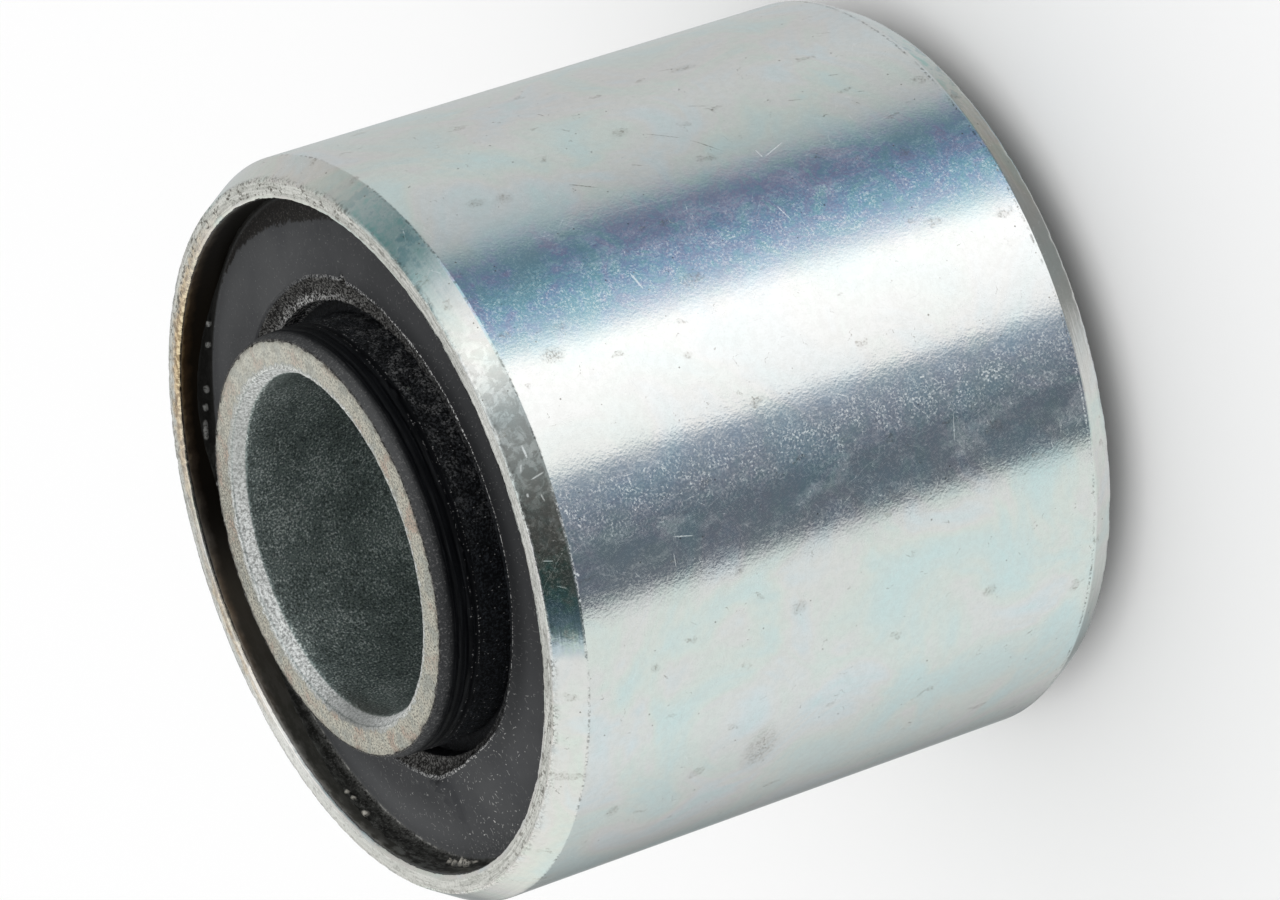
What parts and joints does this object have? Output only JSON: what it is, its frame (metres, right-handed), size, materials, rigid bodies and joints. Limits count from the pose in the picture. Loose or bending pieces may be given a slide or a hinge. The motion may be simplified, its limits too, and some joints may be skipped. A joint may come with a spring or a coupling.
{
  "type": "rubber metal bush",
  "caption": "Round bonded bush: a bevelled zinc-plated steel outer sleeve and a thick steel inner sleeve with a through bore, joined by moulded rubber with a groove round the hub.",
  "frame": {"origin": "centre of the inner sleeve's lower end face, on the bore axis", "axes": "+Z along the bore axis, from the end with the narrower bevel to the end with the wider bevel; the bush stands on its lower end"},
  "size_m": [0.045, 0.045, 0.042],
  "materials": {
    "zinc_plate": "bright zinc plate with faint rainbow tints, light scratches and specks",
    "rubber": "matt black moulded rubber, dusty, with rough flash edges",
    "bare_steel": "fine-grained cut steel, grey in the bore"
  },
  "bodies": {
    "root": {"outer_sleeve": "zinc_plate", "rubber_element": "rubber", "inner_sleeve": "bare_steel"}
  },
  "joints": []
}
